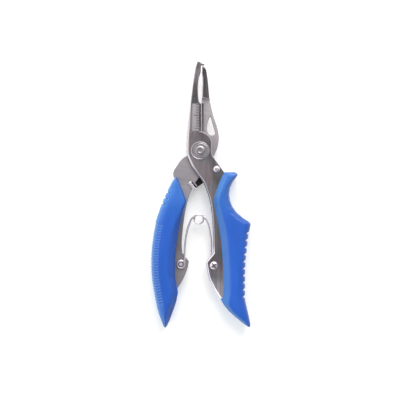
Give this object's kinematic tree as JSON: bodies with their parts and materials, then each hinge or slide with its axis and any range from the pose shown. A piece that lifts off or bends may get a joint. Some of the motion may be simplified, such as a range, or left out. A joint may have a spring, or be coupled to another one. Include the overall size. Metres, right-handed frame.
{
  "type": "fishing pliers",
  "caption": "Long-nose fishing pliers with a hooked split-ring tip, side cutter, moulded grips, wire return spring and a swinging lock latch.",
  "frame": {"origin": "middle of the footprint at the height of the grips' lower faces, pliers lying flat with the jaws shut", "axes": "+Z is the pivot axis and points out of the front lever's face, +Y points the way the nose points, +X towards the grip with the finger hook"},
  "size_m": [0.0602, 0.161, 0.013],
  "materials": {
    "back_steel": "bead-blasted, light grey",
    "front_steel": "brushed, dark polished grey",
    "grip_plastic": "satin moulded blue",
    "bright_steel": "turned and polished",
    "latch_steel": "stamped, dark",
    "spring_wire": "drawn bright wire",
    "screw_steel": "bright plated"
  },
  "bodies": {
    "left_handle": {"back_lever": "back_steel", "left_grip": "grip_plastic", "pivot_sleeve": "bright_steel", "pivot_pin": "bright_steel", "pivot_washer": "bright_steel", "spring_screw_left": "screw_steel", "spring_nut_left": "screw_steel"},
    "right_handle": {"front_lever": "front_steel", "right_grip": "grip_plastic", "latch_rivet": "bright_steel", "latch_washer": "bright_steel", "spring_screw_right": "screw_steel", "spring_nut_right": "screw_steel"},
    "latch": {"latch": "latch_steel"},
    "spring_left": {"spring_left_arm": "spring_wire"},
    "spring_right": {"spring_right_arm": "spring_wire"}
  },
  "joints": [
    {"name": "pivot", "type": "hinge", "parent": "left_handle", "child": "right_handle", "pos_m": [-0.00035, 0.0261, 0.0065], "axis": [0, 0, 1], "range_deg": [0, 16]},
    {"name": "latch_swing", "type": "hinge", "parent": "right_handle", "child": "latch", "pos_m": [0.00955, 0.01505, 0.0065], "axis": [0, 0, -1], "range_deg": [-10, 8]},
    {"name": "spring_foot", "type": "hinge", "parent": "left_handle", "child": "spring_left", "pos_m": [-0.01195, -0.0423, 0.0065], "axis": [0, 0, -1], "range_deg": [-0.5, 13.5]},
    {"name": "spring_coil", "type": "hinge", "parent": "spring_left", "child": "spring_right", "pos_m": [-0.0012, -0.01495, 0.0065], "axis": [0, 0, 1], "range_deg": [-0.5, 43]}
  ],
  "couplings": [
    {"joint": "spring_foot", "follows": "pivot", "ratio": 0.813},
    {"joint": "spring_coil", "follows": "pivot", "ratio": 2.647}
  ]
}
